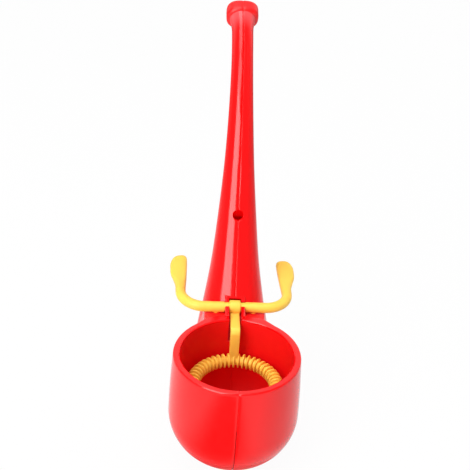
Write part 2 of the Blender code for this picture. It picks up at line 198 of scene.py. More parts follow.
bowl = dict(
    rimRadius=0.0275,
    swell=0.0010,          # widest ring beyond the rim
    bellyHeight=0.0255,    # half an ellipsoid below this
    height=0.0555,
    wall=0.0030,
    rimRound=0.0007,
    innerRound=0.0006,
    blend=0.0065, blendMost=0.010,      # reach of the fillet to the neck, and the furthest a point may move
    blendSkip=0.00008, blendSteps=14,   # thinner fillets are left out; halvings of the search
    cutTop=0.060, edgeTurn=100, edgeLift=0.0004, edgeFlare=1.6,      # the hollow's cutter from the rim up
    poleRadius=0.001, poleTurn=1.2,     # the rings nearest the axis, in metres and in degrees
    columns=120, bottomRows=56, sideRows=36, edgeRows=7, lidRows=8,
    seamTurns=(0.003, 0.009),           # columns beside the seam, in radians
)
seam = dict(gap=0.00002, groove=0.00036, depth=0.00045, inner=0.00015)      # inner: depth inside the bowl


def grooved(points, normals, depth=seam["depth"]):
    # pushed in along the normal by a V that is deepest on the plane X = 0
    share = np.clip(1 - np.abs(points[..., 0]) / seam["groove"], 0, 1)
    return points - normals * (depth * share)[..., None]


def turnedAboutZ(profile, columns):
    # profile (r, z) carried round Z: (r sin t, -r cos t, z), and the normals there
    tangent = np.gradient(profile, axis=0)
    tangent = tangent / np.linalg.norm(tangent, axis=1)[:, None]
    out = np.stack([tangent[:, 1], -tangent[:, 0]], axis=1)
    s, c = np.sin(columns), -np.cos(columns)
    r, z = profile[:, :1], profile[:, 1:]
    rings = np.stack([r * s, r * c, z + 0 * s], axis=-1)
    normals = np.stack([out[:, :1] * s, out[:, :1] * c, out[:, 1:] + 0 * s], axis=-1)
    return rings, normals


def bowlWall(inset):
    # (r, z) from the lowest point up an ellipsoid, then up a wall that leans in to the rim
    b = bowl
    up = np.radians(np.linspace(b["poleTurn"], 90, b["bottomRows"]))
    wide, deep = b["rimRadius"] + b["swell"] - inset, b["bellyHeight"] - inset
    bottom = np.stack([wide * np.sin(up), b["bellyHeight"] - deep * np.cos(up)], axis=1)
    part = np.linspace(1, 0, b["sideRows"])[1:-1]
    side = np.stack([b["rimRadius"] - inset + b["swell"] * np.sin(part * math.pi / 2),
                     b["height"] + (b["bellyHeight"] - b["height"]) * part], axis=1)
    return np.vstack([bottom, side])


def bowlHollow():
    # the inner wall, its rounded edge and a plug that stands above the rim, turned about Z
    b = bowl
    r = b["innerRound"]
    bore = b["rimRadius"] - b["wall"]
    wall = bowlWall(b["wall"])
    wall = wall[wall[:, 1] < b["height"] - r]
    edge = arcPoints((bore + r, b["height"] - r), r, 180, b["edgeTurn"], b["edgeRows"])
    plug = [(bore + r * b["edgeFlare"], b["height"] + b["edgeLift"]), (bore + r, b["cutTop"]),
            (b["poleRadius"], b["cutTop"])]
    columns = seamColumns(b["columns"], b["seamTurns"])
    rings, normals = turnedAboutZ(np.vstack([wall, edge, plug]), columns)
    rings = grooved(rings, -normals, seam["inner"])
    return skinRings("bowlHollow", rings, [(0, 0, b["wall"]), (0, 0, b["cutTop"])])


# neck, stem and mouthpiece: a closed skin from inside the bowl's wall to the lip, a web behind the bowl,
# and the air way that is cut out of them

stem = dict(
    foot=(0.0462, 0.045),                                   # y and z on the centre line
    length=0.1371,
    slopes=(70.5, 70.5, 69.5, 65.0, 56.5, 45.0, 18.0),      # degrees
    widths=(0.0294, 0.0221, 0.0173, 0.0135, 0.0111, 0.0098, 0.0098),
    neckLength=0.053,
    neckSlopes=(70.5, 60.0, 41.0, 20.0, 2.0),
    neckWidths=(0.0294, 0.0302, 0.0294, 0.0250, 0.0180),
    wall=0.0021,
    airEnd=0.002, airPast=0.001, airSides=48,      # narrowest part of the air way, its cut past the lip
    neckFlare=0.0016, flareStart=0.005, neckFlareLength=0.018,      # wider from just above the foot down
    webStart=0.0200,       # y where the web between bowl and neck begins, in the bowl's wall
    webTop=0.0527, webLow=0.0220, webRound=0.0012, webInset=0.00003,
    webFall=0.0019, fallStart=0.022, fallLength=0.010,      # the web's top falls by this over a length of y
    webRows=40, roundRows=6, webColumns=12,
    lineAbove=0.02,        # the centre line counts for the fillet up to this far above the web
    stemRows=150, neckRows=50, columns=40, seamTurns=(0.012, 0.034),
)
lip = dict(halfWide=0.0073, halfHigh=0.0063, length=0.0072, round=0.0018, power=2.7, rows=6,
           flareWide=0.0059, flareHigh=0.0055, flareLength=0.0080)


def walkFrom(slopes, length, sense):
    # y and z along a line of given slopes, from the stem's foot
    slope = np.radians(slopes)
    mid = (slope[1:] + slope[:-1]) / 2
    step = sense * length / (len(slopes) - 1)
    y = stem["foot"][0] + np.concatenate([[0.0], np.cumsum(np.cos(mid) * step)])
    z = stem["foot"][1] + np.concatenate([[0.0], np.cumsum(np.sin(mid) * step)])
    return y, z


def stemLine():
    # centre line, slope and radius from inside the bowl's wall to the mouthpiece
    v = stem
    up = smoothThrough(v["slopes"], v["stemRows"])
    down = smoothThrough(v["neckSlopes"], v["neckRows"])
    upY, upZ = walkFrom(up, v["length"], 1)
    downY, downZ = walkFrom(down, v["neckLength"], -1)
    radius = np.concatenate([smoothThrough(v["neckWidths"], v["neckRows"])[:0:-1],
                             smoothThrough(v["widths"], v["stemRows"])]) / 2
    above = np.concatenate([np.linspace(-v["neckLength"], 0, v["neckRows"])[:-1],
                            np.linspace(0, v["length"], v["stemRows"])])
    radius = radius + v["neckFlare"] * ease((v["flareStart"] - above) / v["neckFlareLength"])
    return (np.concatenate([downY[:0:-1], upY]), np.concatenate([downZ[:0:-1], upZ]),
            np.radians(np.concatenate([down[:0:-1], up])), radius)


lineY, lineZ, lineSlope, lineRadius = stemLine()


def fromNeck(points):
    # rough distance outside the neck's tube and the web above it
    v = stem
    flat = points.reshape(-1, 3)
    low = lineZ < v["webTop"] + v["lineAbove"]
    line = np.column_stack([0 * lineY[low], lineY[low], lineZ[low]])
    tube = (np.linalg.norm(flat[:, None] - line, axis=2) - lineRadius[low]).min(axis=1)
    x, y, z = flat.T
    beside, over = np.abs(x) - np.interp(z, lineZ, lineRadius), z - v["webTop"]
    web = np.hypot(np.maximum(beside, 0), np.maximum(over, 0)) + np.minimum(np.maximum(beside, over), 0)
    web = np.max([web, v["webLow"] - z, v["webStart"] - y], axis=0)
    return np.minimum(tube, web).reshape(points.shape[:-1])


def blendedToNeck(points, normals):
    # each point goes out along its normal until the smooth minimum of its distances to bowl and neck is
    # nought; smooth minimum of a and b with reach k: min(a, b) - (k - |a - b|)^2 / 4k
    b = bowl
    k = b["blend"]
    low, high = np.zeros(points.shape[:-1]), np.full(points.shape[:-1], b["blendMost"])
    for _ in range(b["blendSteps"]):
        out = (low + high) / 2
        neck = fromNeck(points + normals * out[..., None])
        least = np.minimum(out, neck) - np.clip(k - np.abs(out - neck), 0, None) ** 2 / (4 * k)
        inside = least < -b["blendSkip"]
        low, high = np.where(inside, out, low), np.where(inside, high, out)
    return points + normals * low[..., None]


def bowlOuter():
    # the outer wall drawn out to the neck, the rim's round edge and a lid, turned about Z
    b = bowl
    flat = b["rimRadius"] - b["rimRound"]
    edge = arcPoints((flat, b["height"] - b["rimRound"]), b["rimRound"], 0, 90, b["edgeRows"])
    wall = bowlWall(0.0)
    wall = wall[wall[:, 1] < b["height"] - b["rimRound"]]
    inwards = np.linspace(flat, b["poleRadius"], b["lidRows"])[1:]
    lid = np.stack([inwards, np.full(len(inwards), b["height"])], axis=1)
    columns = seamColumns(b["columns"], b["seamTurns"])
    rings, normals = turnedAboutZ(np.vstack([wall, edge, lid]), columns)
    n = len(wall)
    moved = blendedToNeck(rings[:n], normals[:n])
    rings[n:-len(lid)] += (moved[-1] - rings[n - 1]) * np.array([1, 1, 0])      # the rim's edge goes along
    rings[:n] = moved
    return skinRings("bowlOuter", grooved(rings, normals), [(0, 0, 0), (0, 0, b["height"])])


def ringsAlong(y, z, slope, wide, high, power, columns):
    # oval rings square to the line: across X by wide, along the line's own upward side by high
    c, s = np.cos(columns), np.sin(columns)
    bend = 2 / np.broadcast_to(power, y.shape)[:, None]
    across = np.sign(s) * np.abs(s) ** bend
    lift = np.sign(c) * np.abs(c) ** bend
    upY, upZ = -np.sin(slope)[:, None], np.cos(slope)[:, None]
    x = wide[:, None] * across
    h = high[:, None] * lift
    rings = np.stack([x, y[:, None] + upY * h, z[:, None] + upZ * h], axis=-1)
    normals = np.stack([across, upY * lift, upZ * lift], axis=-1)
    return rings, normals / np.linalg.norm(normals, axis=-1)[..., None]


def stemSkin():
    # round rings along the centre line that flare towards the mouth, then the oval rings of the lip
    columns = seamColumns(stem["columns"], stem["seamTurns"])
    endY, endZ, endSlope = lineY[-1], lineZ[-1], lineSlope[-1]
    slim = lineRadius[-1]
    total = np.concatenate([[0], np.cumsum(np.hypot(np.diff(lineY), np.diff(lineZ)))])
    flare = np.clip(1 - (total[-1] - total) / lip["flareLength"], 0, 1) ** 2
    wide = lineRadius + (lip["flareWide"] - slim) * flare
    high = lineRadius + (lip["flareHigh"] - slim) * flare
    outer, normals = ringsAlong(lineY, lineZ, lineSlope, wide, high, 2.0, columns)
    # the lip: (along, drawn in from its widest) round its front and back edges
    r, n = lip["round"], lip["rows"]
    turn = np.radians(np.linspace(90, 0, n))
    front = np.stack([r - r * np.sin(turn), r - r * np.cos(turn)], axis=1)
    body = np.stack([np.linspace(r, lip["length"] - r, n)[1:-1], np.zeros(n - 2)], axis=1)
    rear = np.column_stack([lip["length"] - front[::-1, 0], front[::-1, 1]])
    along, drawn = np.vstack([front, body, rear]).T
    y = endY + math.cos(endSlope) * along
    z = endZ + math.sin(endSlope) * along
    collar, collarNormals = ringsAlong(y, z, np.full(len(y), endSlope), lip["halfWide"] - drawn,
                                       lip["halfHigh"] - drawn, lip["power"], columns)
    return skinRings("stemSkin", np.concatenate([grooved(outer, normals), grooved(collar, collarNormals)]))


def airWay():
    # round rings along the centre line, kept behind the bowl's wall in the neck, out through the lip
    v = stem
    behind = (lineY - bowl["rimRadius"] - bowl["swell"] - v["wall"] / 2) / np.sin(lineSlope)
    bore = np.minimum(lineRadius - v["wall"], behind)
    keep = bore > v["airEnd"]
    past = lip["length"] + v["airPast"]
    y = np.append(lineY[keep], lineY[-1] + math.cos(lineSlope[-1]) * past)
    z = np.append(lineZ[keep], lineZ[-1] + math.sin(lineSlope[-1]) * past)
    slope, bore = (np.append(row[keep], row[-1]) for row in (lineSlope, bore))
    columns = np.linspace(0, 2 * math.pi, v["airSides"], endpoint=False)
    rings, _ = ringsAlong(y, z, slope, bore, bore, 2.0, columns)
    return skinRings("airWay", rings)


def neckWeb():
    # oblong level sections from the bowl's wall to the centre line, as wide as the neck is at each height;
    # the top edge is rounded and falls towards the stem
    v = stem
    turn = np.radians(np.linspace(0, 90, v["roundRows"]))
    z = np.concatenate([np.linspace(v["webLow"], v["webTop"] - v["webRound"], v["webRows"])[:-1],
                        v["webTop"] - v["webRound"] * (1 - np.sin(turn))])
    half = np.interp(z, lineZ, lineRadius) - v["webInset"]
    half[-v["roundRows"]:] -= v["webRound"] * (1 - np.cos(turn))
    back = np.interp(z, lineZ, lineY)
    side = np.linspace(0, 1, v["webColumns"])
    across = np.concatenate([[0.0], np.ones(len(side)), [0.0], -np.ones(len(side))])
    along = np.concatenate([[0.0], side, [1.0], side[::-1]])
    x = half[:, None] * across
    y = v["webStart"] + (back[:, None] - v["webStart"]) * along
    share = (z - v["webLow"])[:, None] / (v["webTop"] - v["webLow"])
    fall = v["webFall"] * share * ease((y - v["fallStart"]) / v["fallLength"])
    return skinRings("neckWeb", np.stack([x, y, z[:, None] - fall], axis=-1))


# bearing block behind the rim, the slot through it and the holes

hinge = dict(
    y=0.035, z=0.055,      # the axis
    slot=0.0055, slotDepth=0.0125, slotAbove=0.006,
    underHub=-100, hubRows=20,      # where the slot begins to follow the hub, in degrees
    ear=0.0017, earLift=0.0011, blockDepth=0.016,
    pocketWall=0.0022, pocketBack=0.0012, pocketLift=0.0004,
    bridgeLift=0.0037, bridgeHeight=0.0008, bridgeBack=0.0026,
    journal=0.0042, hub=0.0062, bar=0.0044, room=0.0003, recess=0.0001, grooveOut=0.002, soft=0.00042,
)
airHole = dict(diameter=0.0049, along=0.0465, depth=0.014)
halfBlock = dict(low=-0.1, high=0.3, half=0.05)      # a block as large as one side of everything


def bearingBlock():
    h, top = hinge, bowl["height"]
    front = bowl["rimRadius"] - bowl["wall"] / 2
    back = h["y"] + h["hub"] / 2 + h["room"] + h["pocketWall"]
    crest = top + h["bridgeLift"]
    outline = [(front, top - h["blockDepth"]), (back, top - h["blockDepth"]), (back, crest),
               (h["y"] + h["bridgeBack"], crest), (h["y"], top + h["earLift"]), (front, top + h["earLift"])]
    return plateAcross("bearingBlock", outline, h["slot"] / 2 + h["ear"], h["soft"])


def slotCutter():
    # the arm's slot through the bowl's wall, round under the hub and up into the pocket below the bridge
    h, top = hinge, bowl["height"]
    room = h["hub"] / 2 + h["room"]
    front, foot, over = bowl["rimRadius"] - 2 * bowl["wall"], top - h["slotDepth"], top + h["slotAbove"]
    back, under = h["y"] + room + h["pocketBack"], top + h["bridgeLift"] - h["bridgeHeight"]
    outline = np.vstack([[(front, over), (front, foot), (bowl["rimRadius"], foot)],
                         arcPoints((h["y"], h["z"]), room, h["underHub"], 0, h["hubRows"]),
                         [(back, h["z"] + h["pocketLift"]), (back, under), (h["y"], under), (h["y"], over)]])
    return plateAcross("slotCutter", outline, h["slot"] / 2)


def holeSpot():
    # the place on the centre line behind the air hole, and the way out of the hole
    n = stem["stemRows"]
    total = np.linspace(0, stem["length"], n)
    y, z, slope = (float(np.interp(airHole["along"], total, row[-n:])) for row in (lineY, lineZ, lineSlope))
    return np.array([0, y, z]), np.array([0, -math.sin(slope), math.cos(slope)])


def holeCutters():
    # the bearings through both ears, a groove on each side for the bar, and the air hole
    h = hinge
    at = np.array([0, h["y"], h["z"]])
    ear = h["slot"] / 2 + h["ear"]
    out = np.array([ear + h["room"], 0, 0])
    yield rodBetween("bearings", at - out, at + out, h["journal"] / 2 + h["room"])
    for side in (-1, 1):
        near, far = side * (ear - h["recess"]), side * (stem["widths"][0] / 2 + h["grooveOut"])
        yield rodBetween(f"barGroove{side}", at + [near, 0, 0], at + [far, 0, 0], h["bar"] / 2 + h["room"])
    spot, ahead = holeSpot()
    yield rodBetween("airBore", spot, spot + ahead * airHole["depth"], airHole["diameter"] / 2)


def pipeShells():
    body = bowlOuter()
    steps = [("UNION", stemSkin()), ("UNION", neckWeb()), ("DIFFERENCE", airWay()), ("UNION", bearingBlock()),
             ("DIFFERENCE", bowlHollow()), ("DIFFERENCE", slotCutter())]
    steps += [("DIFFERENCE", tool) for tool in holeCutters()]
    for operation, tool in steps:
        combine(body, operation, tool)
    shells = []
    low, high, half = (halfBlock[key] for key in ("low", "high", "half"))
    for name, side in (("leftShell", -1), ("rightShell", 1)):
        shell = plateAcross(name, [(low, low), (high, low), (high, high), (low, high)], half)
        shell.data.transform(Matrix.Translation((side * (half + seam["gap"] / 2), 0, 0)))
        combine(shell, "INTERSECT", body)
        shells.append(settle(shell))
    clearTools(body, *(tool for _, tool in steps))
    return shells


leftShell, rightShell = pipeShells()
print("shells done")


# finger lever: hub, bar and horns, arm, dip ring, rest stops

lever = dict(
    hornBend=0.0105, hornReach=0.0368,       # reach from the hinge axis
    hornRise=dict(left=2.8, right=0.4), hornRoll=dict(left=9.0, right=-3.0),      # degrees, not quite alike
    hornLean=-0.9,         # degrees, both to the left
    paddlePower=3.0, barPower=2.2, paddleEase=0.012,      # the paddles are squarer than the bar
    barRows=18, bendRows=24, paddleRows=90, edgeRows=200, hornSides=56,
    outerEdge=(0.0265, 0.0266, 0.0275, 0.0286, 0.0288, 0.0287, 0.0286),   # x along the paddle, bend to tip
    innerEdge=(0.0219, 0.0217, 0.0214, 0.0212, 0.0210, 0.0209, 0.0209),
    tipX=0.0240, tipGap=0.00001, tipRound=0.0026, outerCorner=0.0075, innerCorner=0.0032, cornerPower=2.2,
    paddleThick=0.0035,
    armWidth=0.0042, armThick=0.0019, armBend=0.0030, armRows=(14, 10), soft=0.0004,
    ringRadius=0.0184, ringDrop=0.0184, ringBack=0.0014,
    rib=0.0064, core=0.0039, ribCount=52, ribShare=0.50, ringSides=30,
    stopSpacing=0.0168, stopDiameter=0.0026, stopReach=0.0036, stopRound=0.0006,
)


def paddleEdges():
    # y, outer and inner x from the bend to the tip, where both edges close on one point, each on its own
    # superellipse corner, and the same closing for the thickness
    v = lever
    share = np.sin(np.linspace(0, 1, v["paddleRows"] + 1)[1:] * math.pi / 2)
    y = v["hornBend"] + (v["hornReach"] - v["hornBend"]) * share
    y[-1] = v["hornReach"] - v["tipGap"]

    def corner(length):
        near = np.clip((y - v["hornReach"]) / length + 1, 0, 1)
        return (1 - near ** v["cornerPower"]) ** (1 / v["cornerPower"])

    def edge(key, length):
        n = v["edgeRows"]
        x = np.interp(share, np.linspace(0, 1, n), smoothThrough(v[key], n))
        return v["tipX"] + (x - v["tipX"]) * corner(length)

    return y, edge("outerEdge", v["outerCorner"]), edge("innerEdge", v["innerCorner"]), corner(v["tipRound"])


def hornBars():
    # half of the bar and its bend as a round tube, then the flat paddle between its two edge lines;
    # each horn is then rolled about its own line and slanted up and sideways from the bar on
    v, h = lever, hinge
    start = h["slot"] / 2 + h["ear"] + h["room"]
    turnX = (v["outerEdge"][0] + v["innerEdge"][0]) / 2 - v["hornBend"]
    bar = np.stack([np.linspace(start, turnX, v["barRows"]), np.zeros(v["barRows"])], axis=1)
    bend = arcPoints((turnX, v["hornBend"]), v["hornBend"], -90, 0, v["bendRows"])[1:]
    y, outer, inner, tip = paddleEdges()
    flat = np.vstack([bar, bend, np.stack([(outer + inner) / 2, y], axis=1)])
    n = len(bar) + len(bend)
    tube = np.linspace(h["bar"] / 2, (v["outerEdge"][0] - v["innerEdge"][0]) / 2, n)
    grow = ease((y - v["hornBend"]) / v["paddleEase"])
    wide = np.concatenate([tube, (outer - inner) / 2])[:, None]
    thin = np.concatenate([tube, (tube[-1] + (v["paddleThick"] / 2 - tube[-1]) * grow) * tip])[:, None]
    grow = np.concatenate([np.zeros(n), grow])[:, None]
    path = np.column_stack([flat[:, 0], flat[:, 1] + h["y"], np.full(len(flat), h["z"])])
    ahead = np.gradient(flat[:n], axis=0)
    ahead = ahead / np.linalg.norm(ahead, axis=1)[:, None]
    side = np.tile([1.0, 0.0, 0.0], (len(flat), 1))
    side[:n, 0], side[:n, 1] = ahead[:, 1], -ahead[:, 0]
    c, s = ovalTurn(np.linspace(0, 2 * math.pi, v["hornSides"], endpoint=False),
                    v["barPower"] + (v["paddlePower"] - v["barPower"]) * grow)
    across, lift = wide * c, thin * s
    for name, sense in (("left", -1), ("right", 1)):
        roll = math.radians(v["hornRoll"][name]) * grow
        rings = path[:, None] + side[:, None] * (across * np.cos(roll) + lift * np.sin(roll))[..., None]
        rings[..., 2] += lift * np.cos(roll) - across * np.sin(roll)
        slant = np.tan(np.radians([v["hornLean"] * sense, 0, v["hornRise"][name]]))
        rings = rings + (rings[..., 1:2] - h["y"]) * slant
        yield skinRings(name + "Horn", rings * np.array([sense, 1, 1]))


def dipRing():
    # a core tube with round-tipped fins: radius = core + fin * root of (1 - across^4), carried round Z
    v, h = lever, hinge
    across = np.array([-1.0, -0.97, -0.88, -0.7, -0.4, 0.0, 0.4, 0.7, 0.88, 0.97, 1.0])
    fin = np.append(np.sqrt(np.clip(1 - across**4, 0, 1)), 0.0)
    place = np.append(across * v["ribShare"] / 2, 0.5)
    turn = (np.arange(v["ribCount"])[:, None] + place).ravel() * 2 * math.pi / v["ribCount"] + math.pi / 2
    tube = np.tile(v["core"] / 2 + (v["rib"] - v["core"]) / 2 * fin, v["ribCount"])
    section = np.linspace(0, 2 * math.pi, v["ringSides"], endpoint=False)
    r = v["ringRadius"] + tube[:, None] * np.cos(section)
    rings = np.stack([r * np.cos(turn)[:, None], v["ringBack"] + r * np.sin(turn)[:, None],
                      h["z"] - v["ringDrop"] + tube[:, None] * np.sin(section)], axis=-1)
    return skinRings("dipRing", rings, loop=True)


def leverArm():
    # flat bar forward from the hub, round a bend and straight down to the ring
    v, h = lever, hinge
    low = h["z"] - h["hub"] / 2
    high = low + v["armThick"]
    ringBack = v["ringBack"] + v["ringRadius"]
    front, rear = ringBack - v["armThick"] / 2, ringBack + v["armThick"] / 2
    foot = h["z"] - v["ringDrop"]
    wide, tight = v["armBend"], v["armBend"] / 2
    outer = arcPoints((front + wide, high - wide), wide, 180, 90, v["armRows"][0])
    inner = arcPoints((rear + tight, low - tight), tight, 90, 180, v["armRows"][1])
    outline = np.vstack([[(front, foot)], outer, [(h["y"], high), (h["y"], low)], inner, [(rear, foot)]])
    return plateAcross("leverArm", outline, v["armWidth"] / 2, v["soft"])


def restStops():
    # small round feet under the bar, just short of the front of the stem
    v, h = lever, hinge
    across = v["stopSpacing"] / 2
    lift = np.sqrt(np.maximum(lineRadius**2 - across**2, 0))
    frontY = lineY - lift * np.sin(lineSlope)
    frontZ = lineZ + lift * np.cos(lineSlope)
    radius = v["stopDiameter"] / 2
    y = np.interp(h["z"] - v["stopReach"], frontZ, frontY) - h["room"] - radius
    for side in (-1, 1):
        at = np.array([side * across, y, h["z"]])
        yield rodBetween(f"restStop{side}", at, at - [0, 0, v["stopReach"]], radius, v["stopRound"], sides=32)


def fingerLever():
    h = hinge
    at = np.array([0, h["y"], h["z"]])
    halfHub = np.array([h["slot"] / 2 - h["room"], 0, 0])
    halfAxle = np.array([h["slot"] / 2 + h["ear"] + 2 * h["room"], 0, 0])
    hub = rodBetween("fingerLever", at - halfHub, at + halfHub, h["hub"] / 2, lever["soft"])
    axle = rodBetween("axle", at - halfAxle, at + halfAxle, h["journal"] / 2, sides=48)
    tools = [axle, *hornBars(), *restStops(), dipRing(), leverArm()]
    for tool in tools:
        combine(hub, "UNION", tool)
    settle(hub)
    clearTools(*tools)
    return hub


leverPiece = fingerLever()
print("lever done")


# finishes

def nodeGroup(name, inputs, outputs):
    # a group of float and vector inputs and float outputs, and the sockets that they have inside
    group = bpy.data.node_groups.new(name, "ShaderNodeTree")
    for label, value in inputs:
        kind = "NodeSocketVector" if isinstance(value, Vector) else "NodeSocketFloat"
        group.interface.new_socket(label, in_out="INPUT", socket_type=kind).default_value = value
    for label in outputs:
        group.interface.new_socket(label, in_out="OUTPUT", socket_type="NodeSocketFloat")
    return group, group.nodes.new("NodeGroupInput").outputs, group.nodes.new("NodeGroupOutput").inputs


def feed(tree, socket, value):
    # a link if the value is another node's socket, or else a plain setting
    if isinstance(value, bpy.types.NodeSocket):
        tree.links.new(value, socket)
    else:
        socket.default_value = value


def addNode(tree, kind, **settings):
    # each setting goes to the input of that name, or else to the node itself
    node = tree.nodes.new(kind)
    for key, value in settings.items():
        if key in node.inputs:
            feed(tree, node.inputs[key], value)
        else:
            setattr(node, key, value)
    return node


def mathStep(tree, operation, *values, vector=False):
    # the result of a Math or Vector Math node
    node = addNode(tree, "ShaderNodeVectorMath" if vector else "ShaderNodeMath", operation=operation)
    for socket, value in zip(node.inputs, values):
        feed(tree, socket, value)
    measured = operation in ("LENGTH", "DISTANCE", "DOT_PRODUCT")
    return node.outputs["Vector" if vector and not measured else "Value"]


def levelBetween(tree, value, span, level, kind="SMOOTHSTEP"):
    # a value's place in a span, carried over to a pair of levels
    labels = ("Value", "From Min", "From Max", "To Min", "To Max")
    settings = dict(zip(labels, (value, *span, *level)))
    return addNode(tree, "ShaderNodeMapRange", interpolation_type=kind, **settings).outputs["Result"]


def mixColours(tree, share, first, second):
    # a Mix node's colour sockets go by number: inputs 6 and 7, output 2
    node = addNode(tree, "ShaderNodeMix", data_type="RGBA")
    for number, value in ((0, share), (6, first), (7, second)):
        feed(tree, node.inputs[number], value)
    return node.outputs[2]


def objectPlace(tree):
    return addNode(tree, "ShaderNodeTexCoord").outputs["Object"]


def noiseAt(tree, place, scale, detail, rough):
    node = addNode(tree, "ShaderNodeTexNoise", Vector=place, Scale=scale, Detail=detail, Roughness=rough)
    return node.outputs["Fac"]


def mouldedSkin():
    # slow drift of pigment, uneven gloss and a fine skin from the mould
    inputs = [("Drift Scale", 45.0), ("Gloss Scale", 130.0), ("Skin Scale", 900.0),
              ("Rough Low", 0.2), ("Rough High", 0.3)]
    group, given, put = nodeGroup("mouldedSkin", inputs, ["Drift", "Roughness", "Height"])
    place = objectPlace(group)
    gloss = noiseAt(group, place, given["Gloss Scale"], 4.0, 0.6)
    rough = given["Rough Low"], given["Rough High"]
    feed(group, put["Drift"], noiseAt(group, place, given["Drift Scale"], 3.0, 0.5))
    feed(group, put["Roughness"], levelBetween(group, gloss, (0.3, 0.7), rough, "LINEAR"))
    feed(group, put["Height"], noiseAt(group, place, given["Skin Scale"], 2.0, 0.5))
    return group


def scuffMarks():
    # short fine rubs: a noise drawn out along one axis, and only its crests kept
    group, given, put = nodeGroup("scuffMarks", [("Scale", 160.0), ("Amount", 0.5)], ["Mask"])
    drawn = addNode(group, "ShaderNodeMapping", Vector=objectPlace(group), Rotation=(0.5, 0.9, 0.3),
                    Scale=(1.0, 9.0, 9.0)).outputs["Vector"]
    noise = noiseAt(group, drawn, given["Scale"], 2.0, 0.6)
    crests = levelBetween(group, noise, (0.66, 0.80), (0, 1), "LINEAR")
    feed(group, put["Mask"], mathStep(group, "MULTIPLY", crests, given["Amount"]))
    return group


def hollowMask():
    # one inside a cylinder about the bowl's axis and below the rim, nought outside
    group, given, put = nodeGroup("hollowMask", [("Radius", 0.026), ("Top", 0.0546)], ["Mask"])
    place = objectPlace(group)
    flat = mathStep(group, "MULTIPLY", place, (1, 1, 0), vector=True)
    near = mathStep(group, "LESS_THAN", mathStep(group, "LENGTH", flat, vector=True), given["Radius"])
    height = addNode(group, "ShaderNodeSeparateXYZ", Vector=place).outputs["Z"]
    low = mathStep(group, "LESS_THAN", height, given["Top"])
    feed(group, put["Mask"], mathStep(group, "MULTIPLY", near, low))
    return group


def nearMask():
    # one within a radius of a spot, nought beyond, with a soft border
    inputs = [("Spot", Vector((0, 0, 0))), ("Radius", 0.01), ("Border", 0.001)]
    group, given, put = nodeGroup("nearMask", inputs, ["Mask"])
    far = mathStep(group, "DISTANCE", objectPlace(group), given["Spot"], vector=True)
    inner = mathStep(group, "SUBTRACT", given["Radius"], given["Border"])
    feed(group, put["Mask"], levelBetween(group, far, (inner, given["Radius"]), (1, 0)))
    return group


def beforeMask():
    # before rises over a length along an axis up to a spot and is nought past the spot; past is one there
    inputs = [("Spot", Vector((0, 0, 0))), ("Axis", Vector((0, 0, 1))), ("Length", 0.01)]
    group, given, put = nodeGroup("beforeMask", inputs, ["Before", "Past"])
    away = mathStep(group, "SUBTRACT", objectPlace(group), given["Spot"], vector=True)
    along = mathStep(group, "DOT_PRODUCT", away, given["Axis"], vector=True)
    start = mathStep(group, "MULTIPLY", given["Length"], -1)
    short = mathStep(group, "LESS_THAN", along, 0)
    rise = levelBetween(group, along, (start, 0), (0, 1))
    feed(group, put["Before"], mathStep(group, "MULTIPLY", rise, short))
    feed(group, put["Past"], mathStep(group, "SUBTRACT", 1, short))
    return group


def boxMask():
    # one inside an upright box, nought outside: the largest of |offset| / half size is below one
    inputs = [("Middle", Vector((0, 0, 0))), ("Half", Vector((1, 1, 1)))]
    group, given, put = nodeGroup("boxMask", inputs, ["Mask"])
    away = mathStep(group, "SUBTRACT", objectPlace(group), given["Middle"], vector=True)
    size = mathStep(group, "ABSOLUTE", away, vector=True)
    share = mathStep(group, "DIVIDE", size, given["Half"], vector=True)
    share = addNode(group, "ShaderNodeSeparateXYZ", Vector=share).outputs
    larger = mathStep(group, "MAXIMUM", share["X"], share["Y"])
    largest = mathStep(group, "MAXIMUM", larger, share["Z"])
    feed(group, put["Mask"], mathStep(group, "LESS_THAN", largest, 1))
    return group


skinGroup, scuffGroup, hollowGroup = mouldedSkin(), scuffMarks(), hollowMask()
nearGroup, beforeGroup, boxGroup = nearMask(), beforeMask(), boxMask()

redPlastic = dict(
    deep=(0.82, 0.0020, 0.0028, 1), light=(0.87, 0.0026, 0.0034, 1), rub=(0.84, 0.02, 0.022, 1),
    rough=(0.11, 0.15), drift=38.0, skin=1500.0, bump=0.03, bumpDepth=0.0002, scuff=0.08,
    edge=0.00022, specular=0.5,
    satin=0.35, lipSatin=0.25,      # rougher by this where the mould is unpolished
    webMiddle=(0, 0.032, 0.052), webHalf=(0.017, 0.0042, 0.0014),
    # a painted glow in the air way near the hole, standing in for light through the thin wall
    glow=0.55, paintedGlowReach=0.0080,
    seamMiddle=(0, -0.010, 0.012), seamHalf=(0.00016, 0.020, 0.024),      # the box where shade is painted into the parting line
    seamShade=0.55, seamShadeColour=(0.20, 0.002, 0.003, 1),
    # a painted pale sheen on the mouthpiece's flare, standing in for its reflection
    flareSheen=0.7, flareSheenColour=(0.86, 0.10, 0.11, 1), flareSheenLength=0.010,
)
yellowPlastic = dict(
    deep=(0.90, 0.54, 0.070, 1), light=(0.94, 0.61, 0.085, 1), rub=(0.96, 0.70, 0.16, 1),
    rough=(0.32, 0.44), drift=70.0, skin=1800.0, bump=0.05, bumpDepth=0.0002, scuff=0.08,
    edge=0.00022, specular=0.28,
)


